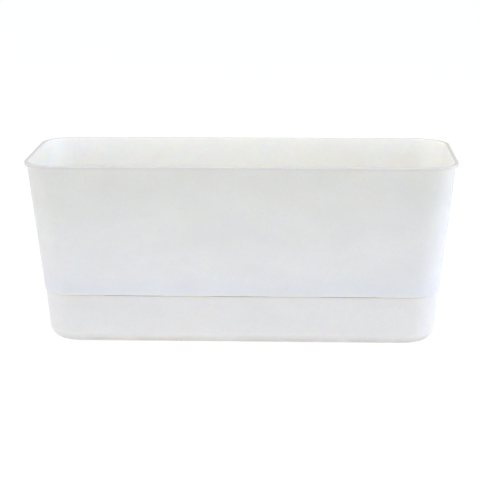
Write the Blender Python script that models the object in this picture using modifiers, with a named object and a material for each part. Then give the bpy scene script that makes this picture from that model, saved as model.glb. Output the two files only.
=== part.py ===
"""Self-watering window planter.

A planting box stands in a clip-under reservoir tray. A perforated insert drops into the box: it carries
three soil baskets that dip into the water, a float gauge and a filling shaft with a hinged lid.
Metres, +Z up. The origin is the middle of the base, and the front faces -Y.
"""

import math

import bmesh
import bpy
from mathutils import Matrix

# Overall size, over the rim.
LENGTH = 0.400
WIDTH = 0.160
HEIGHT = 0.1735

# Shells.
WALL = 0.0020
FLOOR = 0.0025
END_DRAFT = math.radians(5.05)
SIDE_DRAFT = math.radians(7.0)
CORNER_RADIUS = 0.030
CORNER_STEPS = 10
LIP_OVERHANG = 0.0022
LIP_HEIGHT = 0.0030
LIP_ROUND = 0.0008
FIT_GAP = 0.0003

# Joint between the box and the tray.
SEAM_HEIGHT = 0.0478
SEAM_GAP = 0.0003
TRAY_STEP = 0.0009
TRAY_DRAFT = math.radians(4.25)
TRAY_FILLET = 0.0120
FILLET_STEPS = 5
RESTING_BAND = 0.010
RECESS_DEPTH = 0.0008
RECESS_RADIUS = 0.012
LUG_HEIGHT = 0.010
LUG_ROOT = 0.008
LUG_GAP_DEPTH = 0.003
PROP_HALF_WIDTH = 0.030
PROP_THICKNESS = 0.0030

# Three equal bays along the length: each has a basket, and an overflow slot in front and behind.
BAY_PITCH = 0.100
OVERFLOW_WIDTH = 0.0545
OVERFLOW_NOTCH = 0.0003

# Openings in the box's floor, and the bars between them.
LEDGE = 0.009
BAR_WIDTH = 0.008
OPENING_RADIUS = 0.018

# Insert.
GRATE_THICKNESS = 0.0025
GRATE_CLEARANCE = 0.0010
BEAD_WIDTH = 0.0020
BEAD_HEIGHT = 0.0040
DRAIN_SLOT = (0.0030, 0.0130)
DRAIN_PITCH = (0.0090, 0.0185)
DRAIN_MARGIN = 0.0035
DRAIN_LAND = 0.0010
HOLE_GAP = 0.0005

BASKET_TOP_RADIUS = 0.0267
BASKET_FOOT_RADIUS = 0.0210
BASKET_FLANGE_RADIUS = 0.0310
BASKET_DEPTH = 0.0565
BASKET_WALL = 0.0018
FLANGE_THICKNESS = 0.0020
CUP_SLOT_WIDTH = 0.0036
CUP_SLOT_SHARE = 0.64  # of the cup's depth, for the slot's height
CUP_SLOT_MIDDLE = 0.54
CUP_HOLE_RADIUS = 0.0022
CUP_HOLE_RING = 0.52  # of the foot's radius

# Float gauge.
GAUGE_X = -0.153
GAUGE_Y = -0.028
CAGE_RADIUS = 0.0152
CAGE_FLANGE_RADIUS = 0.0190
CAGE_WALL = 0.0015
CAGE_DEPTH = 0.0555
TUBE_RADIUS = 0.0075
TUBE_BORE = 0.0045
TUBE_TOP = 0.110
COLLAR_INSET = 0.0015
SPIGOT_RADIUS = 0.0060
SPIGOT_HEIGHT = 0.0040
LENS_TOP = 0.158
LENS_WALL = 0.0012
DOME_STEPS = 6
STEM_RADIUS = 0.0015
STEM_FOOT_RADIUS = 0.0050
STEM_FOOT_HEIGHT = 0.0014
STEM_TOP = 0.1200
FLOAT_RADIUS = 0.0118
FLOAT_HEIGHT = 0.0140
FLOAT_CHAMFER = 0.0015
MARKER_RADIUS = 0.0045
MARKER_BOTTOM = 0.1150
MARKER_HEIGHT = 0.0065
MARKER_CHAMFER = 0.0010

# Filling shaft and its lid.
SHAFT_X = 0.152
SHAFT_Y = -0.032
SHAFT_HALF = (0.0180, 0.0110)
SHAFT_WALL = 0.0016
SHAFT_RADIUS = 0.0040
SHAFT_BOTTOM = 0.0100
SHAFT_TOP = 0.1565
SHAFT_FLANGE = 0.0030
SHAFT_NOTCH = (0.0120, 0.0080)
HINGE_OFFSET = 0.0035
HINGE_Z = 0.1560
HINGE_BORE = 0.0015
PIN_RADIUS = 0.0012
PIN_HEAD_RADIUS = 0.0022
PIN_HEAD = 0.0012
PIN_TIP = 0.0010
EAR_RADIUS = 0.0028
EAR_INNER = 0.0108
EAR_THICKNESS = 0.0030
EAR_DROP = 0.0080
EAR_STEPS = 10
KNUCKLE_RADIUS = 0.0026
LID_HALF_WIDTH = 0.0195
LID_THICKNESS = 0.0018
LID_REAR = 0.0045
LID_FRONT = 0.0305
LID_ARM_REACH = 0.0060
LID_ARM_INSET = 0.0002
LID_ARM_SETBACK = 0.0010
LID_LIP = (0.0015, 0.0030)

ROUND_STEPS = 28
HOLE_STEPS = 10
PIN_HOLE_STEPS = 20
SMALL_RADIUS = 0.010
SMALL_CORNER_STEPS = 4
BEYOND = 0.002  # how far a cutter runs past the surface that it cuts
SMOOTH_BELOW = math.radians(30)

# Heights that follow from the sizes above.
SKIRT_Z = SEAM_HEIGHT + SEAM_GAP / 2
TRAY_TOP = SEAM_HEIGHT - SEAM_GAP / 2
LUG_TOP = TRAY_TOP + LUG_HEIGHT
FLOOR_BOTTOM = LUG_TOP + FIT_GAP
FLOOR_TOP = FLOOR_BOTTOM + FLOOR
GRATE_BOTTOM = FLOOR_TOP + FIT_GAP
GRATE_TOP = GRATE_BOTTOM + GRATE_THICKNESS
SEAT_Z = GRATE_TOP + FIT_GAP
GAUGE_SEAT_Z = SEAT_Z + FLANGE_THICKNESS + FIT_GAP
CAGE_FLOOR_TOP = SEAT_Z - CAGE_DEPTH + CAGE_WALL
STEM_BOTTOM = CAGE_FLOOR_TOP + FIT_GAP
FLOAT_BOTTOM = STEM_BOTTOM + STEM_FOOT_HEIGHT + FIT_GAP
HINGE_Y = SHAFT_Y + SHAFT_HALF[1] + HINGE_OFFSET
LID_UNDERSIDE = SHAFT_TOP + FIT_GAP - HINGE_Z
BASKETS = {"left": -BAY_PITCH, "centre": 0.0, "right": BAY_PITCH}
BARS = (-BAY_PITCH / 2, BAY_PITCH / 2)


def box_half(z):
    """Half length and half width of the planting box's outer face at a height."""
    below_rim = HEIGHT - z
    return (
        LENGTH / 2 - LIP_OVERHANG - below_rim * math.tan(END_DRAFT),
        WIDTH / 2 - LIP_OVERHANG - below_rim * math.tan(SIDE_DRAFT),
    )


def tray_half(z):
    """Half length and half width of the tray's outer face at a height."""
    return shrunk(box_half(SEAM_HEIGHT), TRAY_STEP + (SEAM_HEIGHT - z) * math.tan(TRAY_DRAFT))


def shrunk(half, by):
    return half[0] - by, half[1] - by


# Scene helpers.


def clear_scene():
    for obj in list(bpy.data.objects):
        bpy.data.objects.remove(obj)


def new_collection(name):
    group = bpy.data.collections.new(name)
    bpy.context.scene.collection.children.link(group)
    return group


def plastic(name, colour, roughness, alpha=1.0):
    material = bpy.data.materials.new(name)
    material.use_nodes = True
    shader = material.node_tree.nodes["Principled BSDF"]
    shader.inputs["Base Color"].default_value = (*colour, 1.0)
    shader.inputs["Roughness"].default_value = roughness
    shader.inputs["Metallic"].default_value = 0.0
    shader.inputs["Alpha"].default_value = alpha
    return material


def add_part(name, mesh, material, location=(0.0, 0.0, 0.0)):
    obj = bpy.data.objects.new(name, mesh)
    obj.location = location
    mesh.materials.append(material)
    PARTS.objects.link(obj)
    return obj


def add_tool(name, mesh, location=(0.0, 0.0, 0.0)):
    """A solid that only cuts or joins, and isn't shown itself."""
    obj = bpy.data.objects.new(name, mesh)
    obj.location = location
    obj.hide_render = True
    obj.display_type = "WIRE"
    TOOLS.objects.link(obj)
    return obj


def combine(target, operation, *tools):
    for tool in tools:
        modifier = target.modifiers.new(tool.name, "BOOLEAN")
        modifier.solver = "EXACT"
        modifier.operation = operation
        modifier.object = tool


def cut(target, *tools):
    combine(target, "DIFFERENCE", *tools)


def join(target, *tools):
    combine(target, "UNION", *tools)


def bake(obj):
    """Replaces the object's mesh by what its modifiers make of it, shaded smooth between sharp edges."""
    material = obj.data.materials[0]
    graph = bpy.context.evaluated_depsgraph_get()
    mesh = bpy.data.meshes.new_from_object(obj.evaluated_get(graph))
    mesh.materials.clear()
    mesh.materials.append(material)
    mesh.shade_smooth()
    mesh.set_sharp_from_angle(angle=SMOOTH_BELOW)
    obj.modifiers.clear()
    obj.data = mesh


def add_axis(name, location, *children):
    """An empty on a joint's axis, which carries the pieces that move there."""
    axis = bpy.data.objects.new(name, None)
    axis.location = location
    PARTS.objects.link(axis)
    bpy.context.view_layer.update()
    for child in children:
        child.parent = axis
        child.matrix_parent_inverse = axis.matrix_world.inverted()
    return axis


# Shapes.


def mesh_of(bm, name):
    mesh = bpy.data.meshes.new(name)
    bm.to_mesh(mesh)
    bm.free()
    return mesh


def edges_at(bm, z):
    return [edge for edge in bm.edges if all(abs(vert.co.z - z) < 1e-6 for vert in edge.verts)]


def bevel(bm, edges, width, steps):
    bmesh.ops.bevel(
        bm,
        geom=edges,
        offset=width,
        segments=steps,
        profile=0.5,
        affect="EDGES",
    )


def block(low, high, low_half, high_half, radius, foot_round=0.0, rim_round=0.0):
    """A block between two heights, with round upright corners and its sides drafted from low to high."""
    bm = bmesh.new()
    bmesh.ops.create_cube(bm, size=2.0)
    for vert in bm.verts:
        top = vert.co.z > 0
        half = high_half if top else low_half
        vert.co.x *= half[0]
        vert.co.y *= half[1]
        vert.co.z = high if top else low
    uprights = [edge for edge in bm.edges if edge.verts[0].co.z != edge.verts[1].co.z]
    bevel(bm, uprights, radius, CORNER_STEPS if radius > SMALL_RADIUS else SMALL_CORNER_STEPS)
    if foot_round:
        bevel(bm, edges_at(bm, low), foot_round, FILLET_STEPS)
    if rim_round:
        bevel(bm, edges_at(bm, high) + edges_at(bm, low), rim_round, 2)
    return mesh_of(bm, "block")


def cuboids(boxes):
    """One mesh of plain boxes that don't touch. Each is a centre, a size and a turn about Z."""
    bm = bmesh.new()
    for centre, size, turn in boxes:
        place = Matrix.Rotation(turn, 4, "Z") @ Matrix.Translation(centre)
        bmesh.ops.create_cube(bm, size=1.0, matrix=place @ Matrix.Diagonal((*size, 1.0)))
    return mesh_of(bm, "cuboids")


def discs(radius, low, high, centres, steps=HOLE_STEPS):
    """One mesh of upright cylinders of one radius."""
    bm = bmesh.new()
    for x, y in centres:
        bmesh.ops.create_cone(
            bm,
            cap_ends=True,
            segments=steps,
            radius1=radius,
            radius2=radius,
            depth=high - low,
            matrix=Matrix.Translation((x, y, (low + high) / 2)),
        )
    return mesh_of(bm, "discs")


def rod_along_x(radius, start, end, steps=ROUND_STEPS):
    bm = bmesh.new()
    along_x = Matrix.Rotation(math.pi / 2, 4, "Y")
    bmesh.ops.create_cone(
        bm,
        cap_ends=True,
        segments=steps,
        radius1=radius,
        radius2=radius,
        depth=end - start,
        matrix=Matrix.Translation(((start + end) / 2, 0.0, 0.0)) @ along_x,
    )
    return mesh_of(bm, "rod")


def extruded_along_x(outline, start, end):
    """A solid with one (y, z) outline."""
    bm = bmesh.new()
    face = bm.faces.new([bm.verts.new((start, y, z)) for y, z in outline])
    grown = bmesh.ops.extrude_face_region(bm, geom=[face])["geom"]
    far_end = [item for item in grown if isinstance(item, bmesh.types.BMVert)]
    bmesh.ops.translate(bm, verts=far_end, vec=(end - start, 0.0, 0.0))
    bmesh.ops.recalc_face_normals(bm, faces=bm.faces)
    return mesh_of(bm, "extrusion")


def span(low, high):
    """Centre, size and no turn, of the box between two corners, as cuboids() takes them."""
    centre = [(a + b) / 2 for a, b in zip(low, high)]
    size = [b - a for a, b in zip(low, high)]
    return centre, size, 0.0


def turned(name, profile, material, location, closed=False):
    """A turned piece. The profile is (radius, height) points, down the outer side. Closed makes a ring."""
    bm = bmesh.new()
    verts = [bm.verts.new((radius, 0.0, z)) for radius, z in profile]
    for first, second in zip(verts, verts[1:]):
        bm.edges.new((first, second))
    if closed:
        bm.edges.new((verts[-1], verts[0]))
    obj = add_part(name, mesh_of(bm, name), material, location)
    screw = obj.modifiers.new("turn", "SCREW")
    screw.steps = ROUND_STEPS
    screw.render_steps = ROUND_STEPS
    screw.use_merge_vertices = True
    screw.merge_threshold = 1e-5
    return obj


def arc(radius, centre_z, start, end, steps):
    """Points of a turned profile on a circle about the axis, angles in degrees above the horizontal."""
    angles = [math.radians(start + (end - start) * i / steps) for i in range(steps + 1)]
    return [(radius * math.cos(a), centre_z + radius * math.sin(a)) for a in angles]


def pierced_cup(name, material, location, foot_radius, top_radius, flange_radius, depth, wall, slots):
    """A hanging cup with a flange on top, upright slots round its wall and holes in its foot."""
    inner_floor = wall - depth
    cup = turned(
        name,
        [
            (0.0, inner_floor),
            (foot_radius - wall, inner_floor),
            (top_radius - wall, FLANGE_THICKNESS),
            (flange_radius, FLANGE_THICKNESS),
            (flange_radius, 0.0),
            (top_radius, 0.0),
            (foot_radius, -depth),
            (0.0, -depth),
        ],
        material,
        location,
    )
    slot_size = (2 * (top_radius - foot_radius) + 4 * wall, CUP_SLOT_WIDTH, depth * CUP_SLOT_SHARE)
    middle = ((foot_radius + top_radius - wall) / 2, 0.0, -depth * CUP_SLOT_MIDDLE)
    turns = [2 * math.pi * i / slots for i in range(slots)]
    wall_slots = cuboids([(middle, slot_size, turn) for turn in turns])
    ring_radius = foot_radius * CUP_HOLE_RING
    ring = [(ring_radius * math.cos(turn), ring_radius * math.sin(turn)) for turn in turns[::2]]
    foot_holes = discs(CUP_HOLE_RADIUS, -depth - BEYOND, inner_floor + BEYOND, [(0.0, 0.0), *ring])
    cut(
        cup,
        add_tool(name + "_wall_slots", wall_slots, location),
        add_tool(name + "_foot_holes", foot_holes, location),
    )
    bake(cup)
    return cup


# The pieces.


def make_tray(white):
    """The reservoir: a shallow tub whose upright lugs locate the box and carry its floor."""
    radius = CORNER_RADIUS - TRAY_STEP
    tray = add_part(
        "reservoir_tray",
        block(0.0, TRAY_TOP, tray_half(0.0), tray_half(TRAY_TOP), radius, foot_round=TRAY_FILLET),
        white,
    )
    cavity_top = TRAY_TOP + BEYOND
    cavity = block(
        FLOOR,
        cavity_top,
        shrunk(tray_half(FLOOR), WALL),
        shrunk(tray_half(cavity_top), WALL),
        radius - WALL,
        foot_round=TRAY_FILLET - WALL,
    )
    recess_half = shrunk(tray_half(0.0), TRAY_FILLET + RESTING_BAND)
    recess = block(-BEYOND, RECESS_DEPTH, recess_half, recess_half, RECESS_RADIUS)
    cut(tray, add_tool("tray_cavity", cavity), add_tool("tray_foot_recess", recess))
    join(tray, make_lugs(), make_props())
    bake(tray)
    return tray


def make_lugs():
    """A castellated ring inside the tray's edge. Air comes in and spare water leaves between the lugs."""
    outer = shrunk(box_half(SKIRT_Z), WALL + FIT_GAP)
    inner = shrunk(outer, WALL)
    radius = CORNER_RADIUS - WALL - FIT_GAP
    low = TRAY_TOP - LUG_ROOT
    ring = add_tool("tray_lugs", block(low, LUG_TOP, outer, outer, radius))
    core = block(low - BEYOND, LUG_TOP + BEYOND, inner, inner, radius - WALL)
    gaps = overflow_boxes(outer[1], TRAY_TOP - LUG_GAP_DEPTH, LUG_TOP + BEYOND)
    cut(ring, add_tool("tray_lug_core", core), add_tool("tray_lug_gaps", cuboids(gaps)))
    return ring


def overflow_boxes(wall_y, low, high):
    """A box across the front wall and one across the back wall, in each bay."""
    size = (OVERFLOW_WIDTH, 4 * WALL, high - low)
    return [
        ((x, side * wall_y, (low + high) / 2), size, 0.0)
        for x in BASKETS.values()
        for side in (-1, 1)
    ]


def make_props():
    """Two upright plates on the tray's floor, which prop the bars of the box's floor."""
    half = PROP_THICKNESS / 2
    plates = [
        span((x - half, -PROP_HALF_WIDTH, FLOOR / 2), (x + half, PROP_HALF_WIDTH, LUG_TOP))
        for x in BARS
    ]
    return add_tool("tray_props", cuboids(plates))


def make_box(white):
    """The planting box: a drafted shell with a thin rim, and a floor frame with three large openings."""
    body_top = HEIGHT - LIP_HEIGHT / 2
    box = add_part(
        "planting_box",
        block(SKIRT_Z, body_top, box_half(SKIRT_Z), box_half(body_top), CORNER_RADIUS),
        white,
    )
    lip_half = (LENGTH / 2, WIDTH / 2)
    lip = block(
        HEIGHT - LIP_HEIGHT,
        HEIGHT,
        lip_half,
        lip_half,
        CORNER_RADIUS + LIP_OVERHANG,
        rim_round=LIP_ROUND,
    )
    join(box, add_tool("box_lip", lip))
    cavity_top = HEIGHT + BEYOND
    cavity = block(
        FLOOR_TOP,
        cavity_top,
        shrunk(box_half(FLOOR_TOP), WALL),
        shrunk(box_half(cavity_top), WALL),
        CORNER_RADIUS - WALL,
    )
    skirt_low = SKIRT_Z - BEYOND
    skirt = block(
        skirt_low,
        FLOOR_BOTTOM,
        shrunk(box_half(skirt_low), WALL),
        shrunk(box_half(FLOOR_BOTTOM), WALL),
        CORNER_RADIUS - WALL,
    )
    notches = overflow_boxes(box_half(SKIRT_Z)[1], skirt_low, SKIRT_Z + OVERFLOW_NOTCH)
    cut(
        box,
        add_tool("box_cavity", cavity),
        add_tool("box_skirt_recess", skirt),
        add_tool("box_overflow_notches", cuboids(notches)),
        *make_floor_openings(),
    )
    bake(box)
    return box


def make_floor_openings():
    """Cutters for the openings to each side of the two floor bars."""
    reach, half_width = shrunk(box_half(FLOOR_BOTTOM), WALL + LEDGE)
    bar_edge = BARS[1] + BAR_WIDTH / 2
    middle_half = (bar_edge - BAR_WIDTH, half_width)
    side_half = ((reach - bar_edge) / 2, half_width)
    side_x = (reach + bar_edge) / 2
    tools = []
    for name, x, half in (
        ("left", -side_x, side_half),
        ("middle", 0.0, middle_half),
        ("right", side_x, side_half),
    ):
        opening = block(FLOOR_BOTTOM - BEYOND, FLOOR_TOP + BEYOND, half, half, OPENING_RADIUS)
        tools.append(add_tool("box_opening_" + name, opening, (x, 0.0, 0.0)))
    return tools


def grate_half():
    return shrunk(box_half(GRATE_BOTTOM), WALL + GRATE_CLEARANCE)


def rect_gap(slot, centre, half):
    """Distance from a drain slot's box to a rectangle, or 0 where they meet."""
    dx = abs(slot[0] - centre[0]) - DRAIN_SLOT[0] / 2 - half[0]
    dy = abs(slot[1] - centre[1]) - DRAIN_SLOT[1] / 2 - half[1]
    return math.hypot(max(dx, 0.0), max(dy, 0.0))


def disc_gap(slot, centre, radius):
    """Distance from a drain slot's box to a disc, or less than 0 where they meet."""
    return rect_gap(slot, centre, (0.0, 0.0)) - radius


def drain_slots():
    """Centres of the drain slots: a grid, without the places where something else passes or sits."""
    half = grate_half()
    columns = int(half[0] / DRAIN_PITCH[0])
    rows = int(half[1] / DRAIN_PITCH[1])
    corner = CORNER_RADIUS - WALL - GRATE_CLEARANCE
    shaft_half = shrunk(SHAFT_HALF, -SHAFT_FLANGE)
    bar_half = (BAR_WIDTH / 2, WIDTH / 2)
    kept = []
    for column in range(-columns, columns + 1):
        for row in range(-rows, rows + 1):
            slot = (column * DRAIN_PITCH[0], row * DRAIN_PITCH[1])
            reach = (abs(slot[0]) + DRAIN_SLOT[0] / 2, abs(slot[1]) + DRAIN_SLOT[1] / 2)
            past = [max(reach[i] - (half[i] - corner), 0.0) for i in (0, 1)]
            inside = math.hypot(*past) < corner - BEAD_WIDTH - DRAIN_MARGIN
            clear = (
                all(disc_gap(slot, (x, 0.0), BASKET_FLANGE_RADIUS) > DRAIN_LAND for x in BASKETS.values())
                and disc_gap(slot, (GAUGE_X, GAUGE_Y), CAGE_FLANGE_RADIUS) > DRAIN_LAND
                and rect_gap(slot, (SHAFT_X, SHAFT_Y), shaft_half) > DRAIN_LAND
                and all(rect_gap(slot, (x, 0.0), bar_half) > 0 for x in BARS)
            )
            if inside and clear:
                kept.append(slot)
    return kept


def make_grate(cream):
    """The insert's floor: a perforated plate with a bead round its edge."""
    half = grate_half()
    radius = CORNER_RADIUS - WALL - GRATE_CLEARANCE
    bead_top = GRATE_TOP + BEAD_HEIGHT
    grate = add_part("soil_grate", block(GRATE_BOTTOM, bead_top, half, half, radius), cream)
    tray_half_inside = shrunk(half, BEAD_WIDTH)
    dished = block(GRATE_TOP, bead_top + BEYOND, tray_half_inside, tray_half_inside, radius - BEAD_WIDTH)
    low = GRATE_BOTTOM - BEYOND
    high = GRATE_TOP + BEYOND
    basket_centres = [(x, 0.0) for x in BASKETS.values()]
    baskets = discs(BASKET_TOP_RADIUS + HOLE_GAP, low, high, basket_centres, ROUND_STEPS)
    gauge = discs(CAGE_RADIUS + HOLE_GAP, low, high, [(GAUGE_X, GAUGE_Y)], ROUND_STEPS)
    shaft_half = shrunk(SHAFT_HALF, -HOLE_GAP)
    shaft = block(low, high, shaft_half, shaft_half, SHAFT_RADIUS + HOLE_GAP)
    drain_size = (*DRAIN_SLOT, high - low)
    drains = cuboids([((x, y, (low + high) / 2), drain_size, 0.0) for x, y in drain_slots()])
    cut(
        grate,
        add_tool("grate_dish", dished),
        add_tool("grate_basket_holes", baskets),
        add_tool("grate_gauge_hole", gauge),
        add_tool("grate_shaft_hole", shaft, (SHAFT_X, SHAFT_Y, 0.0)),
        add_tool("grate_drain_slots", drains),
    )
    bake(grate)
    return grate


def make_baskets(cream):
    """Three alike baskets, which hold soil in the water so that it draws moisture up."""
    first = pierced_cup(
        "soil_basket_left",
        cream,
        (BASKETS["left"], 0.0, SEAT_Z),
        BASKET_FOOT_RADIUS,
        BASKET_TOP_RADIUS,
        BASKET_FLANGE_RADIUS,
        BASKET_DEPTH,
        BASKET_WALL,
        slots=10,
    )
    others = []
    for place in ("centre", "right"):
        copy = bpy.data.objects.new("soil_basket_" + place, first.data)
        copy.location = (BASKETS[place], 0.0, SEAT_Z)
        PARTS.objects.link(copy)
        others.append(copy)
    return [first, *others]


def make_gauge_housing(cream, white, clear):
    """The gauge's fixed pieces: a cage for the float, a tube for the stem and a clear cap on top."""
    foot = (GAUGE_X, GAUGE_Y, SEAT_Z)
    axis = (GAUGE_X, GAUGE_Y, 0.0)
    cage = pierced_cup(
        "gauge_cage",
        cream,
        foot,
        CAGE_RADIUS,
        CAGE_RADIUS,
        CAGE_FLANGE_RADIUS,
        CAGE_DEPTH,
        CAGE_WALL,
        slots=6,
    )
    collar_radius = CAGE_FLANGE_RADIUS - COLLAR_INSET
    collar_top = GAUGE_SEAT_Z + FLANGE_THICKNESS
    tube = turned(
        "gauge_tube",
        [
            (SPIGOT_RADIUS, TUBE_TOP + SPIGOT_HEIGHT),
            (SPIGOT_RADIUS, TUBE_TOP),
            (TUBE_RADIUS, TUBE_TOP),
            (TUBE_RADIUS, collar_top),
            (collar_radius, collar_top),
            (collar_radius, GAUGE_SEAT_Z),
            (TUBE_BORE, GAUGE_SEAT_Z),
            (TUBE_BORE, TUBE_TOP + SPIGOT_HEIGHT),
        ],
        white,
        axis,
        closed=True,
    )
    bake(tube)
    inner_radius = TUBE_RADIUS - LENS_WALL
    dome_z = LENS_TOP - TUBE_RADIUS
    lens_foot = TUBE_TOP + FIT_GAP
    lens = turned(
        "gauge_lens",
        [
            *arc(TUBE_RADIUS, dome_z, 90, 0, DOME_STEPS),
            (TUBE_RADIUS, lens_foot),
            (inner_radius, lens_foot),
            *arc(inner_radius, dome_z, 0, 90, DOME_STEPS),
        ],
        clear,
        axis,
    )
    bake(lens)
    return [cage, tube, lens]


def make_gauge_float(foam, white, red):
    """The gauge's moving pieces: the float, the stem that stands on it and the marker on top."""
    axis = (GAUGE_X, GAUGE_Y, 0.0)
    bore = STEM_RADIUS + FIT_GAP
    float_top = FLOAT_BOTTOM + FLOAT_HEIGHT
    buoy = turned(
        "gauge_float",
        [
            (bore, float_top),
            (FLOAT_RADIUS - FLOAT_CHAMFER, float_top),
            (FLOAT_RADIUS, float_top - FLOAT_CHAMFER),
            (FLOAT_RADIUS, FLOAT_BOTTOM + FLOAT_CHAMFER),
            (FLOAT_RADIUS - FLOAT_CHAMFER, FLOAT_BOTTOM),
            (bore, FLOAT_BOTTOM),
        ],
        foam,
        axis,
        closed=True,
    )
    stem = turned(
        "gauge_stem",
        [
            (0.0, STEM_TOP),
            (STEM_RADIUS, STEM_TOP),
            (STEM_RADIUS, STEM_BOTTOM + STEM_FOOT_HEIGHT),
            (STEM_FOOT_RADIUS, STEM_BOTTOM + STEM_FOOT_HEIGHT),
            (STEM_FOOT_RADIUS, STEM_BOTTOM),
            (0.0, STEM_BOTTOM),
        ],
        white,
        axis,
    )
    marker_top = MARKER_BOTTOM + MARKER_HEIGHT
    marker = turned(
        "gauge_marker",
        [
            (0.0, marker_top),
            (MARKER_RADIUS - MARKER_CHAMFER, marker_top),
            (MARKER_RADIUS, marker_top - MARKER_CHAMFER),
            (MARKER_RADIUS, MARKER_BOTTOM),
            (bore, MARKER_BOTTOM),
            (bore, STEM_TOP + FIT_GAP),
            (0.0, STEM_TOP + FIT_GAP),
        ],
        red,
        axis,
    )
    for piece in (buoy, stem, marker):
        bake(piece)
    return [buoy, stem, marker]


def make_shaft(cream):
    """The filling shaft: a rectangular pipe through the grate, with ears for the lid's hinge pin."""
    place = (SHAFT_X, SHAFT_Y, 0.0)
    shaft = add_part(
        "fill_shaft",
        block(SHAFT_BOTTOM, SHAFT_TOP, SHAFT_HALF, SHAFT_HALF, SHAFT_RADIUS),
        cream,
        place,
    )
    flange_half = shrunk(SHAFT_HALF, -SHAFT_FLANGE)
    flange = block(
        SEAT_Z,
        SEAT_Z + FLANGE_THICKNESS,
        flange_half,
        flange_half,
        SHAFT_RADIUS + SHAFT_FLANGE,
    )
    join(shaft, add_tool("shaft_flange", flange, place), *make_ears())
    bore_half = shrunk(SHAFT_HALF, SHAFT_WALL)
    bore = block(
        SHAFT_BOTTOM - BEYOND,
        SHAFT_TOP + BEYOND,
        bore_half,
        bore_half,
        SHAFT_RADIUS - SHAFT_WALL,
    )
    notch = cuboids(
        [((0.0, 0.0, SHAFT_BOTTOM), (SHAFT_NOTCH[0], 4 * SHAFT_HALF[1], 2 * SHAFT_NOTCH[1]), 0.0)]
    )
    ear_reach = EAR_INNER + EAR_THICKNESS + BEYOND
    pin_hole = rod_along_x(HINGE_BORE, -ear_reach, ear_reach, PIN_HOLE_STEPS)
    cut(
        shaft,
        add_tool("shaft_bore", bore, place),
        add_tool("shaft_notch", notch, place),
        add_tool("shaft_pin_hole", pin_hole, (SHAFT_X, HINGE_Y, HINGE_Z)),
    )
    bake(shaft)
    return shaft


def make_ears():
    """The two ears behind the shaft's mouth: a round end on a small bracket."""
    start, end = math.radians(-60), math.radians(90)
    turns = [start + (end - start) * i / EAR_STEPS for i in range(EAR_STEPS + 1)]
    outline = [(EAR_RADIUS * math.cos(turn), EAR_RADIUS * math.sin(turn)) for turn in turns]
    root_y = -HINGE_OFFSET - SHAFT_WALL / 2
    outline += [(root_y, 0.0), (root_y, -EAR_DROP)]
    tools = []
    for name, side in (("left", -1), ("right", 1)):
        inner, outer = sorted((side * EAR_INNER, side * (EAR_INNER + EAR_THICKNESS)))
        ear = extruded_along_x(outline, inner, outer)
        tools.append(add_tool("shaft_ear_" + name, ear, (SHAFT_X, HINGE_Y, HINGE_Z)))
    return tools


def make_lid(white):
    """The shaft's lid, with its origin on the hinge axis: a plate, a front lip, an arm and a knuckle."""
    place = (SHAFT_X, HINGE_Y, HINGE_Z)
    knuckle_half = EAR_INNER - FIT_GAP
    arm_half = knuckle_half - LID_ARM_SETBACK
    plate_top = LID_UNDERSIDE + LID_THICKNESS
    lid = add_part("fill_lid", rod_along_x(KNUCKLE_RADIUS, -knuckle_half, knuckle_half), white, place)
    half_depth = (LID_FRONT - LID_REAR) / 2
    plate = block(
        LID_UNDERSIDE,
        plate_top,
        (LID_HALF_WIDTH, half_depth),
        (LID_HALF_WIDTH, half_depth),
        SHAFT_RADIUS,
    )
    plate_place = (SHAFT_X, HINGE_Y - LID_REAR - half_depth, HINGE_Z)
    arm_low = (-arm_half, -LID_ARM_REACH, LID_UNDERSIDE + LID_ARM_INSET)
    arm_high = (arm_half, KNUCKLE_RADIUS / 4, plate_top - LID_ARM_INSET)
    arm = cuboids([span(arm_low, arm_high)])
    lip_half = LID_HALF_WIDTH - SHAFT_RADIUS
    lip = cuboids(
        [
            span(
                (-lip_half, -LID_FRONT, -LID_LIP[1]),
                (lip_half, -LID_FRONT + LID_LIP[0], LID_UNDERSIDE + LID_THICKNESS / 2),
            )
        ]
    )
    join(
        lid,
        add_tool("lid_plate", plate, plate_place),
        add_tool("lid_arm", arm, place),
        add_tool("lid_lip", lip, place),
    )
    reach = knuckle_half + BEYOND
    cut(lid, add_tool("lid_bore", rod_along_x(HINGE_BORE, -reach, reach, PIN_HOLE_STEPS), place))
    bake(lid)
    return lid


def make_pin(white):
    """The lid's hinge pin, with a small head at one end."""
    place = (SHAFT_X, HINGE_Y, HINGE_Z)
    ear_outer = EAR_INNER + EAR_THICKNESS
    head_start = ear_outer + FIT_GAP
    shank = rod_along_x(PIN_RADIUS, -ear_outer - PIN_TIP, head_start + PIN_HEAD / 2)
    pin = add_part("fill_lid_pin", shank, white, place)
    head = rod_along_x(PIN_HEAD_RADIUS, head_start, head_start + PIN_HEAD)
    join(pin, add_tool("pin_head", head, place))
    bake(pin)
    return pin


clear_scene()
PARTS = new_collection("self_watering_planter")
TOOLS = new_collection("cutters")

shell_white = plastic("shell_white", (0.86, 0.86, 0.85), 0.45)
insert_cream = plastic("insert_cream", (0.78, 0.76, 0.71), 0.55)
trim_white = plastic("trim_white", (0.80, 0.80, 0.79), 0.35)
lens_clear = plastic("lens_clear", (0.90, 0.93, 0.94), 0.08, alpha=0.3)
float_foam = plastic("float_foam", (0.82, 0.80, 0.74), 0.80)
marker_red = plastic("marker_red", (0.70, 0.06, 0.04), 0.35)

reservoir = make_tray(shell_white)
planting_box = make_box(shell_white)
soil_grate = make_grate(insert_cream)
soil_baskets = make_baskets(insert_cream)
gauge_housing = make_gauge_housing(insert_cream, trim_white, lens_clear)
gauge_float = make_gauge_float(float_foam, trim_white, marker_red)
fill_shaft = make_shaft(insert_cream)
fill_lid = make_lid(trim_white)
fill_pin = make_pin(trim_white)

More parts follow.
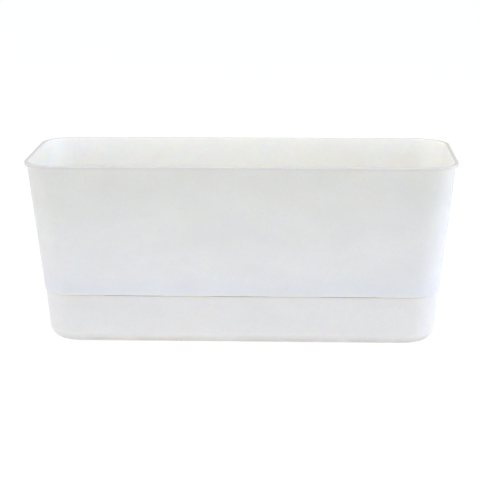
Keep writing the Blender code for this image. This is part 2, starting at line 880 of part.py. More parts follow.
float_axis = add_axis("float_axis", (GAUGE_X, GAUGE_Y, 0.0), *gauge_float)
insert_axis = add_axis(
    "insert_axis",
    (0.0, 0.0, GRATE_BOTTOM),
    soil_grate,
    *soil_baskets,
    *gauge_housing,
    float_axis,
    fill_shaft,
    fill_lid,
    fill_pin,
)
add_axis("box_axis", (0.0, 0.0, SEAM_HEIGHT), planting_box, insert_axis)
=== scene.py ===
"""Looks of the self-watering window planter.

The two white shells are rebuilt here with moulded edges and fine corners. The insert, the gauge
and the filling shaft keep their frame solids, with softened edges. Every piece gets a procedural
material: moulded plastic, clear plastic or foam.
"""

import math

import bmesh
import bpy
from mathutils import Matrix, Vector


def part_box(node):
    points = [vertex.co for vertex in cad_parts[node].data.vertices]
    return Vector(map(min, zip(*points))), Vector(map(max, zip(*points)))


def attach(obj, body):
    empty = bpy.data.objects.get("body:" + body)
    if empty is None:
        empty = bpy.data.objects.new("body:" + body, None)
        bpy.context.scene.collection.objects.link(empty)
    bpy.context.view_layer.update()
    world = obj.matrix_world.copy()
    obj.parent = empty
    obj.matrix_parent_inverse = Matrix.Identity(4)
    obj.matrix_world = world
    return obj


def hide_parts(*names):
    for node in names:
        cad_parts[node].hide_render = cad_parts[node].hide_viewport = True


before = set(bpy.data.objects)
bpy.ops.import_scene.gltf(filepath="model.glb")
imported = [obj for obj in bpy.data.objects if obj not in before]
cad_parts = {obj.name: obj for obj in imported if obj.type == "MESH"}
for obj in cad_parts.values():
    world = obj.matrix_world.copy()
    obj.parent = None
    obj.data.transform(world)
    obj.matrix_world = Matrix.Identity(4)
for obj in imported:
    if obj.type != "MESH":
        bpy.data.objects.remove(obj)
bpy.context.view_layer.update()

# The shells, as the frame has them. All lengths are in metres.
BOX_LOW, BOX_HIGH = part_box("planting_box")
LENGTH = 2 * BOX_HIGH.x
WIDTH = 2 * BOX_HIGH.y
HEIGHT = BOX_HIGH.z
SKIRT_Z = BOX_LOW.z
LUG_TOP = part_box("reservoir_tray")[1].z

WALL = 0.0020
FLOOR = 0.0025
END_DRAFT = math.radians(5.05)
SIDE_DRAFT = math.radians(7.0)
CORNER_RADIUS = 0.030
LIP_OVERHANG = 0.0022
LIP_HEIGHT = 0.0030
FIT_GAP = 0.0003
SEAM_GAP = 0.0003
TRAY_STEP = 0.0009
TRAY_DRAFT = math.radians(4.25)
TRAY_FILLET = 0.0120
RECESS_DEPTH = 0.0008
RECESS_RADIUS = 0.012
RESTING_BAND = 0.010
LUG_ROOT = 0.008
LUG_GAP_DEPTH = 0.003
BAY_PITCH = 0.100
OVERFLOW_WIDTH = 0.0545
OVERFLOW_NOTCH = 0.0004
LEDGE = 0.009
BAR_WIDTH = 0.008
OPENING_RADIUS = 0.018
OPENING_LEAD_IN = 0.0005
PROP_THICKNESS = 0.0030
PROP_HALF_WIDTH = 0.030

# How far a cutter reaches past what it cuts.
BEYOND = 0.002

SEAM_HEIGHT = SKIRT_Z - SEAM_GAP / 2
TRAY_TOP = SEAM_HEIGHT - SEAM_GAP / 2
FLOOR_BOTTOM = LUG_TOP + FIT_GAP
FLOOR_TOP = FLOOR_BOTTOM + FLOOR
BAYS = (-BAY_PITCH, 0.0, BAY_PITCH)
BARS = (-BAY_PITCH / 2, BAY_PITCH / 2)

# How far from its corner the rounding of an edge starts.
SHARP = 0.0
SKIRT_INNER_ROUND = 0.0004
SKIRT_OUTER_ROUND = 0.0006
LIP_ROUND = 0.0005
BOX_FLOOR_ROUND = 0.0012
TRAY_RIM_ROUND = 0.0007
RECESS_ROUND = 0.0004
LUG_ROUND = 0.0006
PROP_ROUND = 0.0006
SOLID_EDGE_ROUND = 0.0003

# How finely the shells are cut up. A rounding has at least ROUND_STEPS, and more where it is large.
CORNER_STEPS = 16
SIDE_STEPS = 28
END_STEPS = 10
ROUND_STEPS = 4
ROUND_STEP_LENGTH = 0.0010
WALL_STEP_LENGTH = 0.012
PROP_EDGE_SEGMENTS = 3
SOLID_EDGE_SEGMENTS = 2
ROUND_PROFILE = 0.5

# A flat face begins with a ring this far inside the corner before it.
FLAT_RING = 0.004

# The long walls sag inwards a little between the stiff rim and the floor. The rim has a small share of it.
WALL_SAG = 0.0006
RIM_SAG_SHARE = 0.3

# Angles between two faces, in degrees. Shells are shaded smooth below the first. On a frame solid an
# edge is rounded above the second, and the faces are joined into one below the third.
SMOOTH_ANGLE = 40
EDGE_ANGLE = 35
FLAT_ANGLE = 0.5
WELD_DISTANCE = 0.00001

# A shell's face is level where the Z of its normal is above this. Shorter lengths than the tolerance
# count as nothing.
LEVEL = 0.9
TOLERANCE = 0.0001

# Camera, with its angles in degrees. It aims at the middle of the planter, moved by the last two values.
CAMERA_AZIMUTH = 2.29
CAMERA_ELEVATION = 13.53
CAMERA_ROLL = -0.15
CAMERA_DISTANCE = 1.4866
CAMERA_LENS = 115.73
SENSOR_WIDTH = 36.0
AIM_ASIDE = -0.0025
AIM_UP = 0.0005

# Lights. A sky patch is (direction, strength, colour). It is brightest in that direction, and it
# fades to nothing at right angles to it.
SKY = (
    ((0, -1, 0), 0.95, (0.85, 0.91, 1.0)),
    ((0, 1, 0), 0.50, (1.0, 1.0, 1.0)),
    ((-1, 0, 0), 0.88, (0.92, 0.90, 1.0)),
    ((1, 0, 0), 0.22, (0.9, 0.95, 1.0)),
)
OVERHEAD_PLACE = (0.0, -0.12, 1.10)
OVERHEAD_SIZE = (1.05, 0.34)
OVERHEAD_POWER = 5.3
OVERHEAD_COLOUR = (1.0, 0.975, 0.81)
CARD_PLACE = (0.42, 0.0, 0.08)
CARD_SIZE = (0.14, 0.12)
CARD_POWER = 0.10
CARD_COLOUR = (0.80, 0.85, 1.0)
WINDOW_AZIMUTH = 90
WINDOW_ELEVATION = 14
WINDOW_SPREAD = 40
WINDOW_STRENGTH = 1.20
WINDOW_COLOUR = (0.70, 0.78, 1.0)

# The light table that the planter stands on.
TABLE_RADIUS = 14.0
TABLE_SIDES = 96
TABLE_GLOW = 0.815
TABLE_ALBEDO = 0.30

# Colours and roughness of the shells. The inside white is lighter than the outside whites: painted light.
# The painted shade multiplies the colour.
BOX_WHITE = (0.79, 0.795, 0.812)
TRAY_WHITE = (0.832, 0.81, 0.79)
# Lighter white for the inside faces: painted light.
INSIDE_PAINTED_LIGHT_WHITE = (0.955, 0.947, 0.932)
OUTSIDE_ROUGHNESS = (0.42, 0.58)
INSIDE_ROUGHNESS = (0.30, 0.44)
FLOW_SHADE = 0.96
GRAIN_SHADE = 0.91
# Painted shade: the top darker and warmer, the lip darker and bluer, the foot darker.
TOP_PAINTED_SHADE = (0.92, 0.925, 0.875)
LIP_PAINTED_SHADE = (0.935, 0.925, 0.975)
FOOT_PAINTED_SHADE = (0.71, 0.71, 0.70)
# Warm darkening along the seam.
SEAM_WARM_DARKENING = (0.80, 0.74, 0.62)

# Heights between which the shells' painted shade comes in, and how far the warm darkening reaches from the
# seam.
RIM_BAND = (HEIGHT - LIP_HEIGHT - 0.0006, HEIGHT - LIP_HEIGHT + 0.0006)
FOOT_BAND = (0.002, 0.010)
SEAM_DARKENING_REACH = (0.0004, 0.0040)
SEAM_DARKENING_STRENGTH = 0.42

# Plastics. Light soaks into the shells to this depth, times the share of each colour.
PLASTIC_IOR = 1.49
SOAK_DEPTH = 0.003
SOAK_SHARES = (1.0, 0.8, 0.55)

# Ranges of a noise, from where a patch starts to where it is full.
WHOLE = (0.0, 1.0)
MIDDLE = (0.35, 0.65)
WIDE_MIDDLE = (0.3, 0.7)


# Sections and lofts. A section point is (half length, half width, corner radius, height) of a rounded ring.


def box_half(z):
    below_rim = HEIGHT - z
    return (
        LENGTH / 2 - LIP_OVERHANG - below_rim * math.tan(END_DRAFT),
        WIDTH / 2 - LIP_OVERHANG - below_rim * math.tan(SIDE_DRAFT),
    )


def tray_half(z):
    inset = TRAY_STEP + (SEAM_HEIGHT - z) * math.tan(TRAY_DRAFT)
    return tuple(half - inset for half in box_half(SEAM_HEIGHT))


def section_point(half, radius, inset, z):
    return Vector((half[0] - inset, half[1] - inset, radius - inset, z))


def on_box(z, inset=0.0):
    return section_point(box_half(z), CORNER_RADIUS, inset, z)


def on_lip(z):
    return section_point((LENGTH / 2, WIDTH / 2), CORNER_RADIUS + LIP_OVERHANG, 0.0, z)


def on_tray(z, inset=0.0):
    return section_point(tray_half(z), CORNER_RADIUS - TRAY_STEP, inset, z)


def rounded_section(corners):
    """Rounds a section. Each corner is (point, how far from it the rounding starts)."""
    path = []
    for i, (point, cut) in enumerate(corners):
        if cut == SHARP:
            path.append(point)
            continue
        before = corners[i - 1][0] - point
        after = corners[i + 1][0] - point
        start = point + before * (cut / across(before))
        end = point + after * (cut / across(after))
        turns = max(ROUND_STEPS, int(cut / ROUND_STEP_LENGTH))
        for k in range(turns + 1):
            weight = arc_weight(k / turns)
            path.append(start * weight[0] + point * weight[1] + end * weight[2])
    return path


def across(step):
    """Length of a section step, in the plane of its wall."""
    return math.hypot(step[0], step[3])


def arc_weight(t):
    """Weights of a rational curve through a square corner, which makes it a circular arc."""
    middle = math.sqrt(0.5)
    first, second, third = (1 - t) ** 2, 2 * t * (1 - t) * middle, t**2
    total = first + second + third
    return first / total, second / total, third / total


def refined(section):
    """The section with long steps divided, so that the sag bends them."""
    path = [section[0]]
    for point in section[1:]:
        last = path[-1]
        parts = max(1, math.ceil(across(point - last) / WALL_STEP_LENGTH))
        path += [last.lerp(point, i / parts) for i in range(1, parts + 1)]
    return path


def wall_sag(z):
    """The sag at a height: none up to the floor, most halfway up the wall, and a little at the rim."""
    t = (z - FLOOR_TOP) / (HEIGHT - FLOOR_TOP)
    if t <= 0:
        return 0.0
    return WALL_SAG * (math.sin(math.pi * t) + RIM_SAG_SHARE * t)


def no_sag(_):
    return 0.0


def ring_points(half_x, half_y, radius, z, sag):
    """A ring's points, anticlockwise from above, with the long sides drawn in by the sag."""
    points = []
    straight_x = half_x - radius
    straight_y = half_y - radius
    corners = ((1, 1), (-1, 1), (-1, -1), (1, -1))
    for quarter, (side_x, side_y) in enumerate(corners):
        centre = Vector((side_x * straight_x, side_y * straight_y, z))
        for i in range(CORNER_STEPS + 1):
            angle = math.pi / 2 * (quarter + i / CORNER_STEPS)
            outward = Vector((radius * math.cos(angle), radius * math.sin(angle), 0.0))
            points.append(centre + outward)
        steps = SIDE_STEPS if quarter % 2 == 0 else END_STEPS
        following = corners[(quarter + 1) % len(corners)]
        end = Vector((following[0] * straight_x, following[1] * straight_y, z))
        points += [centre.lerp(end, i / steps) + outward for i in range(1, steps)]
    for point in points:
        along = min(abs(point.x) / straight_x, 1.0)
        point.y -= math.copysign(sag * (1 - along**2) ** 2, point.y)
    return points


def loft(name, section, closed=False, sag=no_sag):
    """A body through the rings of a section.

    A closed one joins its last ring to its first. Any other is closed by a flat face at each end.
    """
    bm = bmesh.new()
    rings = [[bm.verts.new(p) for p in ring_points(*point, sag(point[3]))] for point in section]
    pairs = list(zip(rings, rings[1:]))
    if closed:
        pairs.append((rings[-1], rings[0]))
    count = len(rings[0])
    for lower, upper in pairs:
        for i in range(count):
            j = (i + 1) % count
            bm.faces.new((lower[i], lower[j], upper[j], upper[i]))
    if not closed:
        bm.faces.new(reversed(rings[0]))
        bm.faces.new(rings[-1])
    bmesh.ops.recalc_face_normals(bm, faces=bm.faces)
    return new_object(name, bm)


# Objects and modifiers.


def link(obj):
    bpy.context.scene.collection.objects.link(obj)
    return obj


def new_object(name, bm):
    mesh = bpy.data.meshes.new(name)
    bm.to_mesh(mesh)
    bm.free()
    return link(bpy.data.objects.new(name, mesh))


def boxes(name, spans, edge=SHARP):
    """Boxes between pairs of corners, in one mesh, with their edges rounded."""
    bm = bmesh.new()
    for low, high in spans:
        low, high = Vector(low), Vector(high)
        size = Matrix.Diagonal((*(high - low), 1.0))
        bmesh.ops.create_cube(bm, size=1.0, matrix=Matrix.Translation((low + high) / 2) @ size)
    if edge != SHARP:
        bmesh.ops.bevel(
            bm,
            geom=bm.edges,
            offset=edge,
            segments=PROP_EDGE_SEGMENTS,
            profile=ROUND_PROFILE,
            affect="EDGES",
        )
    return new_object(name, bm)


def boolean(target, operation, *tools):
    """Applies Booleans to the target, and removes the tools."""
    for tool in tools:
        modifier = target.modifiers.new(tool.name, "BOOLEAN")
        modifier.operation = operation
        modifier.object = tool
    graph = bpy.context.evaluated_depsgraph_get()
    mesh = bpy.data.meshes.new_from_object(target.evaluated_get(graph))
    target.modifiers.clear()
    target.data = mesh
    for tool in tools:
        bpy.data.objects.remove(tool)


def shade(obj):
    obj.data.shade_smooth()
    obj.data.set_sharp_from_angle(angle=math.radians(SMOOTH_ANGLE))


def soften(node):
    """Small round edges on a frame solid, by modifiers only."""
    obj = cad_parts[node]
    weld = obj.modifiers.new("weld", "WELD")
    weld.merge_threshold = WELD_DISTANCE
    flat = obj.modifiers.new("merge flat faces", "DECIMATE")
    flat.decimate_type = "DISSOLVE"
    flat.angle_limit = math.radians(FLAT_ANGLE)
    bevel = obj.modifiers.new("edges", "BEVEL")
    bevel.width = SOLID_EDGE_ROUND
    bevel.segments = SOLID_EDGE_SEGMENTS
    bevel.limit_method = "ANGLE"
    bevel.angle_limit = math.radians(EDGE_ANGLE)
    bevel.use_clamp_overlap = True
    bevel.harden_normals = True
    return obj


# The white shells.


def make_planting_box():
    """Drafted walls with a rolled lip, and a floor frame with three openings."""
    lip_low = HEIGHT - LIP_HEIGHT
    section = rounded_section(
        [
            (on_box(FLOOR_BOTTOM, WALL), SHARP),
            (on_box(SKIRT_Z, WALL), SKIRT_INNER_ROUND),
            (on_box(SKIRT_Z), SKIRT_OUTER_ROUND),
            (on_box(lip_low), LIP_ROUND),
            (on_lip(lip_low), LIP_ROUND),
            (on_lip(HEIGHT), LIP_ROUND),
            (on_box(HEIGHT, WALL), LIP_ROUND),
            (on_box(FLOOR_TOP, WALL), BOX_FLOOR_ROUND),
            (on_box(FLOOR_TOP, WALL + FLAT_RING), SHARP),
        ]
    )
    box = loft("box_shell", refined(section), sag=wall_sag)
    notches = overflow_boxes("notches", box_half(SKIRT_Z)[1], SKIRT_Z - BEYOND, SKIRT_Z + OVERFLOW_NOTCH)
    boolean(box, "DIFFERENCE", notches, *floor_openings())
    shade(box)
    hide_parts("planting_box")
    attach(box, "box")
    return box


def overflow_boxes(name, wall_y, low, high):
    """A box across both long walls at each bay."""
    half, reach = OVERFLOW_WIDTH / 2, 2 * WALL
    spans = [
        ((x - half, side - reach, low), (x + half, side + reach, high))
        for x in BAYS
        for side in (-wall_y, wall_y)
    ]
    return boxes(name, spans)


def floor_openings():
    """Cutters for the three openings, with a lead-in at the top edge."""
    half = [value - WALL - LEDGE for value in box_half(FLOOR_BOTTOM)]
    bar_edge = BARS[1] + BAR_WIDTH / 2
    side_half = ((half[0] - bar_edge) / 2, half[1])
    middle_half = (bar_edge - BAR_WIDTH, half[1])
    side_x = (half[0] + bar_edge) / 2
    lead_in = FLOOR_TOP - OPENING_LEAD_IN
    tools = []
    for x, size in ((-side_x, side_half), (0.0, middle_half), (side_x, side_half)):
        section = [
            section_point(size, OPENING_RADIUS, 0.0, FLOOR_BOTTOM - BEYOND),
            section_point(size, OPENING_RADIUS, 0.0, lead_in),
            section_point(size, OPENING_RADIUS, -BEYOND, lead_in + BEYOND),
        ]
        tool = loft("opening", section)
        tool.location.x = x
        tools.append(tool)
    bpy.context.view_layer.update()
    return tools


def make_tray():
    """The water tray: a tub with a large round lower edge, locating lugs and two props on its floor."""
    recess_half = tuple(value - TRAY_FILLET - RESTING_BAND for value in tray_half(0.0))
    section = rounded_section(
        [
            (on_tray(FLOOR, TRAY_FILLET + FLAT_RING), SHARP),
            (on_tray(FLOOR, WALL), TRAY_FILLET - WALL),
            (on_tray(TRAY_TOP, WALL), TRAY_RIM_ROUND),
            (on_tray(TRAY_TOP), TRAY_RIM_ROUND),
            (on_tray(0.0), TRAY_FILLET),
            (section_point(recess_half, RECESS_RADIUS, 0.0, 0.0), RECESS_ROUND),
            (section_point(recess_half, RECESS_RADIUS, RECESS_DEPTH, RECESS_DEPTH), RECESS_ROUND),
            (section_point(recess_half, RECESS_RADIUS, FLAT_RING, RECESS_DEPTH), SHARP),
        ]
    )
    tray = loft("tray_shell", section)
    boolean(tray, "UNION", make_lugs(), make_props())
    shade(tray)
    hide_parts("reservoir_tray")
    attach(tray, "tray")
    return tray


def make_lugs():
    """A ring just inside the skirt of the box, cut into lugs by the overflow gaps."""
    outer = WALL + FIT_GAP
    half = box_half(SKIRT_Z)
    low = TRAY_TOP - LUG_ROOT
    section = rounded_section(
        [
            (section_point(half, CORNER_RADIUS, outer, low), SHARP),
            (section_point(half, CORNER_RADIUS, outer, LUG_TOP), LUG_ROUND),
            (section_point(half, CORNER_RADIUS, outer + WALL, LUG_TOP), LUG_ROUND),
            (section_point(half, CORNER_RADIUS, outer + WALL, low), SHARP),
        ]
    )
    lugs = loft("lugs", section, closed=True)
    gaps = overflow_boxes("gaps", half[1] - outer, TRAY_TOP - LUG_GAP_DEPTH, LUG_TOP + BEYOND)
    boolean(lugs, "DIFFERENCE", gaps)
    return lugs


def make_props():
    """Two plates that hold up the bars of the box's floor."""
    half = PROP_THICKNESS / 2
    spans = [
        ((x - half, -PROP_HALF_WIDTH, FLOOR / 2), (x + half, PROP_HALF_WIDTH, LUG_TOP)) for x in BARS
    ]
    return boxes("props", spans, edge=PROP_ROUND)


# Materials.


class Nodes:
    """A material's node tree, with short ways to add and join nodes."""

    def __init__(self, name):
        self.material = bpy.data.materials.new(name)
        self.material.use_nodes = True
        self.tree = self.material.node_tree
        self.place = self.add("ShaderNodeTexCoord").outputs["Object"]

    def add(self, kind, **settings):
        node = self.tree.nodes.new(kind)
        for key, value in settings.items():
            setattr(node, key, value)
        return node

    def feed(self, socket, value):
        """Joins a socket to another node's output, or sets it to a plain value."""
        if isinstance(value, bpy.types.NodeSocket):
            self.tree.links.new(value, socket)
        elif socket.type == "RGBA":
            socket.default_value = (*value, 1.0)
        else:
            socket.default_value = value

    def fill(self, node, inputs):
        for name, value in inputs.items():
            self.feed(node.inputs[name], value)

    def surface(self, inputs):
        """Fills the shader's inputs, and gives the finished material."""
        self.fill(self.tree.nodes["Principled BSDF"], inputs)
        return self.material

    def noise(self, scale, detail=3.0, roughness=0.55, stretch=(1, 1, 1)):
        mapping = self.add("ShaderNodeMapping")
        self.fill(mapping, {"Vector": self.place, "Scale": stretch})
        node = self.add("ShaderNodeTexNoise")
        self.fill(node, {"Vector": mapping.outputs["Vector"], "Scale": scale})
        self.fill(node, {"Detail": detail, "Roughness": roughness})
        return node.outputs["Fac"]

    def carry(self, value, source, target=WHOLE):
        """A value carried from one range to another, and kept inside it."""
        node = self.add("ShaderNodeMapRange", clamp=True)
        self.fill(node, {"Value": value, "From Min": source[0], "From Max": source[1]})
        self.fill(node, {"To Min": target[0], "To Max": target[1]})
        return node.outputs["Result"]

    def math(self, operation, *values):
        node = self.add("ShaderNodeMath", operation=operation)
        for socket, value in zip(node.inputs, values):
            self.feed(socket, value)
        return node.outputs["Value"]

    def mix(self, amount, first, second, blend="MIX"):
        node = self.add("ShaderNodeMix", data_type="RGBA", blend_type=blend)
        colours = [socket for socket in node.inputs if socket.type == "RGBA"]
        for socket, value in zip(colours, (first, second)):
            self.feed(socket, value)
        self.feed(node.inputs["Factor"], amount)
        return next(socket for socket in node.outputs if socket.type == "RGBA")

    def bump(self, height, distance, strength):
        node = self.add("ShaderNodeBump")
        self.fill(node, {"Height": height, "Distance": distance, "Strength": strength})
        return node

    def height_above_floor(self):
        node = self.add("ShaderNodeSeparateXYZ")
        self.feed(node.inputs["Vector"], self.place)
        return node.outputs["Z"]


def shell_white(name, clean, roughness, with_painted_shade=True):
    """Satin white moulded plastic, with faint flow marks, a fine grain, painted shade by height where
    asked, and a warm darkening along the seam.
    """
    nodes = Nodes(name)
    flow = nodes.noise(38, detail=4.0, roughness=0.6, stretch=(0.6, 1.0, 1.0))
    colour = nodes.mix(nodes.carry(flow, MIDDLE), clean, shaded(clean, FLOW_SHADE))
    grain = nodes.carry(nodes.noise(520, roughness=0.65), (0.40, 0.62), (0.0, 0.35))
    colour = nodes.mix(grain, colour, shaded(clean, GRAIN_SHADE))
    height = nodes.height_above_floor()
    if with_painted_shade:
        colour = painted_shade_by_height(nodes, height, colour)
    # Warmer and darker towards the seam.
    colour = nodes.mix(seam_darkening(nodes, height), colour, SEAM_WARM_DARKENING)
    fine = nodes.bump(nodes.noise(1500, detail=2.0, roughness=0.5), 0.00004, 0.5)
    broad = nodes.bump(nodes.noise(70, detail=2.0, roughness=0.5), 0.00012, 0.35)
    nodes.feed(broad.inputs["Normal"], fine.outputs["Normal"])
    return nodes.surface(
        {
            "Base Color": colour,
            "Roughness": nodes.carry(nodes.noise(90, detail=4.0, roughness=0.6), WIDE_MIDDLE, roughness),
            "Normal": broad.outputs["Normal"],
            "IOR": PLASTIC_IOR,
            "Subsurface Weight": 1.0,
            "Subsurface Radius": SOAK_SHARES,
            "Subsurface Scale": SOAK_DEPTH,
        }
    )


def painted_shade_by_height(nodes, height, colour):
    """Painted shade: the top darker and warmer, the lip darker and bluer, and the foot darker, unevenly in
    patches.
    """
    # Darker and warmer towards the top: painted shade.
    colour = nodes.mix(nodes.carry(height, (SEAM_HEIGHT, HEIGHT)), colour, TOP_PAINTED_SHADE, "MULTIPLY")
    # The lip darker and bluer: painted shade.
    colour = nodes.mix(nodes.carry(height, RIM_BAND), colour, LIP_PAINTED_SHADE, "MULTIPLY")
    # The foot darker, unevenly in patches: painted shade.
    patches = nodes.carry(nodes.noise(45, detail=4.0, roughness=0.65), (0.35, 0.6), (0.7, 1.0))
    foot_shade = nodes.math("MULTIPLY", nodes.carry(height, FOOT_BAND, (1.0, 0.0)), patches)
    return nodes.mix(foot_shade, colour, FOOT_PAINTED_SHADE, "MULTIPLY")


def seam_darkening(nodes, height):
    """How strong the warm darkening is: most at the seam, nothing a few millimetres away, and uneven along
    it.
    """
    from_seam = nodes.math("ABSOLUTE", nodes.math("SUBTRACT", height, SEAM_HEIGHT))
    near_seam = nodes.carry(from_seam, SEAM_DARKENING_REACH, (SEAM_DARKENING_STRENGTH, 0.0))
    return nodes.math("MULTIPLY", near_seam, nodes.carry(nodes.noise(60), MIDDLE, (0.3, 1.0)))


def shaded(colour, by):
    return tuple(value * by for value in colour)


def insert_cream():
    """Matt cream plastic, with faint flow marks and darker specks."""
    nodes = Nodes("insert_cream")
    flow = nodes.carry(nodes.noise(55, detail=5.0, roughness=0.6), MIDDLE)
    colour = nodes.mix(flow, (0.78, 0.76, 0.71), (0.74, 0.72, 0.67))
    specks = nodes.carry(nodes.noise(900, detail=2.0, roughness=0.5), (0.60, 0.75), (0.0, 0.5))
    return nodes.surface(
        {
            "Base Color": nodes.mix(specks, colour, (0.70, 0.68, 0.62)),
            "Roughness": nodes.carry(nodes.noise(120, detail=4.0), WIDE_MIDDLE, (0.48, 0.70)),
            "Normal": nodes.bump(nodes.noise(1300, roughness=0.6), 0.00006, 0.6).outputs["Normal"],
            "IOR": PLASTIC_IOR,
        }
    )


def trim_white():
    """Satin white for the small moulded pieces."""
    nodes = Nodes("trim_white")
    mottle = nodes.carry(nodes.noise(120, detail=4.0, roughness=0.6), MIDDLE)
    return nodes.surface(
        {
            "Base Color": nodes.mix(mottle, (0.80, 0.80, 0.79), (0.74, 0.74, 0.72)),
            "Roughness": nodes.carry(nodes.noise(260, detail=4.0), WIDE_MIDDLE, (0.26, 0.42)),
            "Normal": nodes.bump(nodes.noise(900, detail=2.0), 0.00003, 0.5).outputs["Normal"],
            "IOR": PLASTIC_IOR,
        }
    )


def lens_clear():
    """Clear moulded plastic with faint haze and moulding ripples."""
    nodes = Nodes("lens_clear")
    return nodes.surface(
        {
            "Base Color": (0.95, 0.97, 0.97),
            "Transmission Weight": 1.0,
            "IOR": PLASTIC_IOR,
            "Roughness": nodes.carry(nodes.noise(300, detail=4.0), (0.4, 0.7), (0.03, 0.12)),
            "Normal": nodes.bump(nodes.noise(140, detail=2.0), 0.00004, 0.4).outputs["Normal"],
        }
    )


def float_foam():
    """Closed-cell foam: cream, with small cells, darker in the middle of each cell where the bump sinks it:
    painted shade.
    """
    nodes = Nodes("float_foam")
    cells = nodes.add("ShaderNodeTexVoronoi")
    nodes.fill(cells, {"Vector": nodes.place, "Scale": 900})
    depth = cells.outputs["Distance"]
    # The cells' sunken middles are darker: painted shade.
    return nodes.surface(
        {
            "Base Color": nodes.mix(nodes.carry(depth, WHOLE), (0.70, 0.66, 0.58), (0.84, 0.81, 0.74)),
            "Roughness": nodes.carry(nodes.noise(200), WHOLE, (0.7, 0.9)),
            "Normal": nodes.bump(depth, 0.0002, 0.7).outputs["Normal"],
        }
    )


def marker_red():
    """Glossy red, a little worn."""
    nodes = Nodes("marker_red")
    wear = nodes.noise(400, detail=4.0, roughness=0.6)
    worn = nodes.carry(wear, (0.4, 0.7))
    return nodes.surface(
        {
            "Base Color": nodes.mix(worn, (0.62, 0.035, 0.025), (0.70, 0.09, 0.07)),
            "Roughness": nodes.carry(wear, WIDE_MIDDLE, (0.22, 0.40)),
            "Normal": nodes.bump(nodes.noise(700, detail=2.0), 0.00003, 0.4).outputs["Normal"],
        }
    )


def floor_white():
    """A light table: matt white acrylic, lit evenly from below."""
    return Nodes("floor_white").surface(
        {
            "Base Color": (TABLE_ALBEDO,) * 3,
            "Roughness": 0.9,
            "Specular IOR Level": 0.1,
            "Emission Color": (1.0, 1.0, 1.0),
            "Emission Strength": TABLE_GLOW,
        }
    )


def dress(obj, material):
    obj.data.materials.clear()
    obj.data.materials.append(material)


def paint_inside_lighter(shell, floor_top, material):
    """Gives the floor and the faces that look inwards the smoother finish of the mould's core, in a lighter
    white that is painted light.
    """
    shell.data.materials.append(material)
    for face in shell.data.polygons:
        outward = face.normal.x * face.center.x + face.normal.y * face.center.y
        on_floor = face.normal.z > LEVEL and face.center.z < floor_top + TOLERANCE
        face.material_index = int(outward < -TOLERANCE or on_floor)


# Stage.


def direction(azimuth, elevation):
    """A unit vector, by degrees: azimuth from the front towards the right, and elevation upwards."""
    turn, tilt = math.radians(azimuth), math.radians(elevation)
    return Vector((math.sin(turn) * math.cos(tilt), -math.cos(turn) * math.cos(tilt), math.sin(tilt)))


def make_camera():
    back = direction(CAMERA_AZIMUTH, CAMERA_ELEVATION)
    right = (-back).cross(Vector((0, 0, 1))).normalized()
    up = back.cross(right)
    place = Vector((0, 0, HEIGHT / 2)) + right * AIM_ASIDE + up * AIM_UP + back * CAMERA_DISTANCE
    roll = math.radians(CAMERA_ROLL)
    rolled_right = right * math.cos(roll) + up * math.sin(roll)
    rolled_up = up * math.cos(roll) - right * math.sin(roll)
    data = bpy.data.cameras.new("camera")
    data.lens = CAMERA_LENS
    data.sensor_width = SENSOR_WIDTH
    camera = link(bpy.data.objects.new("camera", data))
    turn = Matrix((rolled_right, rolled_up, back)).transposed()
    camera.matrix_world = Matrix.Translation(place) @ turn.to_4x4()
    bpy.context.scene.camera = camera


def new_light(name, kind, strength, colour, turn):
    data = bpy.data.lights.new(name, kind)
    data.energy = strength
    data.color = colour
    light = link(bpy.data.objects.new(name, data))
    light.rotation_euler = turn.to_euler()
    return light


def softbox(name, place, towards, size, power, colour):
    """An area light at a place, facing in a direction."""
    light = new_light(name, "AREA", power, colour, Vector(towards).to_track_quat("-Z", "Y"))
    light.location = place
    light.data.shape = "RECTANGLE"
    light.data.size, light.data.size_y = size


def sun(name, comes_from, strength, spread, colour):
    """A soft light from far off, by the direction that it comes from."""
    light = new_light(name, "SUN", strength, colour, comes_from.to_track_quat("Z", "Y"))
    light.data.angle = math.radians(spread)


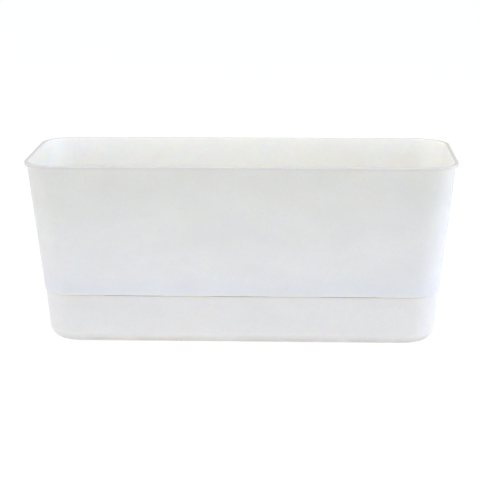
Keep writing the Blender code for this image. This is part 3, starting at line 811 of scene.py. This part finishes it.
def sky(patches):
    """A world that adds up patches of light."""
    world = bpy.data.worlds.new("studio")
    world.use_nodes = True
    tree = world.node_tree
    tree.nodes.clear()
    seen = tree.nodes.new("ShaderNodeTexCoord").outputs["Generated"]
    total = None
    for towards, strength, colour in patches:
        light = tree.nodes.new("ShaderNodeBackground")
        light.inputs["Color"].default_value = (*colour, 1.0)
        facing = tree.nodes.new("ShaderNodeVectorMath")
        facing.operation = "DOT_PRODUCT"
        facing.inputs[1].default_value = towards
        tree.links.new(seen, facing.inputs[0])
        amount = tree.nodes.new("ShaderNodeMapRange")
        amount.inputs["To Max"].default_value = strength
        tree.links.new(facing.outputs["Value"], amount.inputs["Value"])
        tree.links.new(amount.outputs["Result"], light.inputs["Strength"])
        if total:
            both = tree.nodes.new("ShaderNodeAddShader")
            tree.links.new(total, both.inputs[0])
            tree.links.new(light.outputs["Background"], both.inputs[1])
            total = both.outputs["Shader"]
        else:
            total = light.outputs["Background"]
    output = tree.nodes.new("ShaderNodeOutputWorld")
    tree.links.new(total, output.inputs["Surface"])
    bpy.context.scene.world = world


def make_stage():
    bm = bmesh.new()
    bmesh.ops.create_circle(bm, cap_ends=True, segments=TABLE_SIDES, radius=TABLE_RADIUS)
    floor = new_object("floor", bm)
    dress(floor, floor_white())
    sky(SKY)
    softbox("overhead", OVERHEAD_PLACE, (0, 0, -1), OVERHEAD_SIZE, OVERHEAD_POWER, OVERHEAD_COLOUR)
    softbox("card", CARD_PLACE, (-1, 0, 0), CARD_SIZE, CARD_POWER, CARD_COLOUR)
    window = direction(WINDOW_AZIMUTH, WINDOW_ELEVATION)
    sun("window", window, WINDOW_STRENGTH, WINDOW_SPREAD, WINDOW_COLOUR)
    bpy.context.scene.view_settings.view_transform = "Standard"


make_camera()
make_stage()

# The inside faces and floor get a lighter copy of the white: painted light.
inside = shell_white("shell_white_inside_painted_light", INSIDE_PAINTED_LIGHT_WHITE, INSIDE_ROUGHNESS, with_painted_shade=False)
for shell, floor_top, look in (
    (make_planting_box(), FLOOR_TOP, shell_white("shell_white", BOX_WHITE, OUTSIDE_ROUGHNESS)),
    (make_tray(), FLOOR, shell_white("shell_white_tray", TRAY_WHITE, OUTSIDE_ROUGHNESS)),
):
    dress(shell, look)
    paint_inside_lighter(shell, floor_top, inside)

LOOKS = {
    insert_cream(): (
        "soil_grate",
        "soil_basket_left",
        "soil_basket_centre",
        "soil_basket_right",
        "gauge_cage",
        "fill_shaft",
    ),
    trim_white(): ("gauge_tube", "gauge_stem", "fill_lid", "fill_lid_pin"),
    lens_clear(): ("gauge_lens",),
    float_foam(): ("gauge_float",),
    marker_red(): ("gauge_marker",),
}
for material, names in LOOKS.items():
    for name in names:
        dress(soften(name), material)
